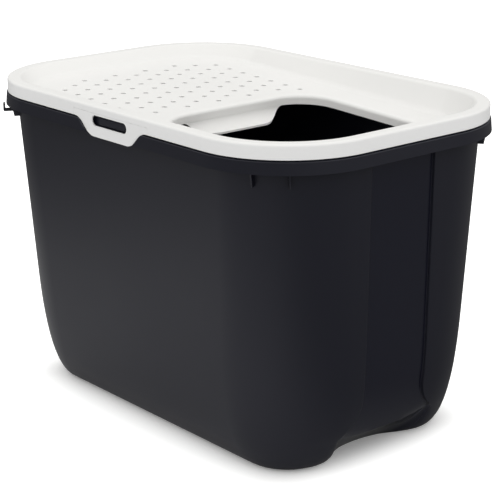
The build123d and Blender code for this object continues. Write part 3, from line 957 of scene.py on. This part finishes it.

# %% [markdown]
# ## The floor
# The box stands on a pale floor. The camera sees pure white paper: it glows a little by
# itself, and least close to the box, where the weaker glow is painted shade that keeps a
# narrow soft shadow there. The floor sends back about 60 % of the light that falls on it, so
# the upright faces are a shade darker than the crest. It is also what the tub's satin walls
# mirror, with painted light near the box and painted shade past the end with the entry and
# farther off. That painted reflection draws the tub's form.

# %% Floor
FLOOR_BOUNCE = (0.60, 0.61, 0.64)
# Painted light and painted shade in the floor's colour, which only glossy rays see.
FLOOR_PAINTED_LIGHT, FLOOR_PAINTED_SHADE = 0.67, 0.16
# The glow is weaker near the box: painted shade that keeps a narrow shadow round its foot.
PAINTED_SHADOW_GLOW, GLOW_FAR = 0.11, 0.58
FOOTPRINT = (0.20, 0.11, 0.0)            # half sizes of the place that the glow is measured from
TO_END = (0.8, 0.6)                      # level direction past the end with the entry
bpy.ops.object.select_all(action="DESELECT")
bpy.ops.mesh.primitive_plane_add(size=60.0)
floor = bpy.context.object
floor.name = "floor"
paper = bpy.data.materials.new("white_paper")
paper.use_nodes = True
tree = paper.node_tree
shader = tree.nodes["Principled BSDF"]
shader.inputs["Roughness"].default_value = 1.0
shader.inputs["Specular IOR Level"].default_value = 0.0
floor.data.materials.append(paper)
print("floor:", tuple(floor.dimensions))


# %% The floor's colour
def ray_kinds(tree):
    """Whether a ray comes from the camera, and whether from a gloss."""
    ray = tree.nodes.new("ShaderNodeLightPath")
    return Value(tree, ray.outputs["Is Camera Ray"]), Value(tree, ray.outputs["Is Glossy Ray"])


def coordinates(place):
    """The three values of a place or direction."""
    parts = place.node("SeparateXYZ", Vector=place).socket.node
    return [Value(place.tree, outlet) for outlet in parts.outputs]


seen, glossy = ray_kinds(tree)
place = Value(tree, tree.nodes.new("ShaderNodeTexCoord").outputs["Object"])
east, north, _ = coordinates(place)
# Painted light and shade for glossy rays: light near the box, shade past the end with the entry and
# farther off.
past_end = (east * TO_END[0] + north * TO_END[1]).eased(-0.05, 0.40)
far_off = place.node("VectorMath", {"operation": "LENGTH"}, outlet=1, in0=place).eased(0.45, 1.25)
painted_shade_share = 1.0 - (1.0 - past_end) * (1.0 - far_off)
mirrored = painted_shade_share.mix((FLOOR_PAINTED_LIGHT,) * 3, (FLOOR_PAINTED_SHADE,) * 3)
plain = seen.mix(FLOOR_BOUNCE, (1.0, 1.0, 1.0))
colour = plain.node("Mix", {"data_type": "RGBA"}, outlet=2, in0=glossy, in6=plain, in7=mirrored)
tree.links.new(colour.socket, shader.inputs["Base Color"])

# %% The floor's glow
beyond = place.node("VectorMath", {"operation": "ABSOLUTE"}, in0=place)
beyond = beyond.node("VectorMath", {"operation": "SUBTRACT"}, in0=beyond, in1=FOOTPRINT)
beyond = beyond.node("VectorMath", {"operation": "MAXIMUM"}, in0=beyond, in1=(0.0, 0.0, 0.0))
gap = beyond.node("VectorMath", {"operation": "LENGTH"}, outlet=1, in0=beyond)
# Less glow near the box is painted shade round its foot; farther off the paper is evenly white.
glow = seen * gap.eased(0.01, 0.085, PAINTED_SHADOW_GLOW, GLOW_FAR)
tree.links.new(glow.socket, shader.inputs["Emission Strength"])
shader.inputs["Emission Color"].default_value = (1.0, 1.0, 1.0, 1.0)

# %% [markdown]
# ## The light
# A white studio lights the box evenly from all round, a little more from above and from the
# front. Only what the plastics mirror is shaped: bright overhead, which gives the crest its
# gleam, weaker near the horizon, and with a softer glow past the end with the entry.

# %% Sky
FRONT_LIGHT = 0.05
TO_FRONT = (0.76, -0.65)
world = bpy.data.worlds.new("studio")
world.use_nodes = True
tree = world.node_tree
sky = tree.nodes["Background"]
sky.inputs["Color"].default_value = (1.0, 0.998, 0.985, 1.0)
seen, glossy = ray_kinds(tree)
towards = Value(tree, tree.nodes.new("ShaderNodeTexCoord").outputs["Generated"])
east, north, upwards = coordinates(towards)
to_end = east * TO_END[0] + north * TO_END[1]
to_front = east * TO_FRONT[0] + north * TO_FRONT[1]
rise = upwards.node("MapRange", Value=upwards, From_Min=0.0, From_Max=0.6, To_Min=0.92, To_Max=1.1)
overhead = upwards.eased(0.0, 0.8, 0.12, 1.0)
end_glow = to_end.eased(0.1, 0.8, 0.0, 0.4)
lit = (rise + to_front * FRONT_LIGHT) * (1.0 - glossy * (1.0 - overhead - end_glow))
strength = seen + (1.0 - seen) * lit
tree.links.new(strength.socket, sky.inputs["Strength"])
bpy.context.scene.world = world
print("sky:", len(tree.nodes), "nodes")

# %% [markdown]
# ## The camera
# A long lens from a little above, turned towards the corner between the front and the end with
# the entry. Its place is given by angles round the target, and its three axes are worked out
# from them, so that the small roll is exact.

# %% Camera
lens = 117.30
azimuth, elevation, roll = radians(49.83), radians(17.42), radians(-0.42)
distance = 2.00242
target = Vector((0.01815, 0.0, 0.19253))
back = Vector((sin(azimuth) * cos(elevation), -cos(azimuth) * cos(elevation), sin(elevation)))
right = Vector((cos(azimuth), sin(azimuth), 0.0))
up = back.cross(right)
camera_x = right * cos(roll) + up * sin(roll)
camera_y = up * cos(roll) - right * sin(roll)
camera_data = bpy.data.cameras.new("camera")
camera_data.lens = lens
camera_data.sensor_width = 36.0
camera = bpy.data.objects.new("camera", camera_data)
camera.matrix_world = Matrix.Translation(target + back * distance) @ Matrix(
    (camera_x, camera_y, back)
).transposed().to_4x4()
bpy.context.scene.collection.objects.link(camera)
bpy.context.scene.camera = camera
bpy.context.scene.view_settings.view_transform = "Standard"
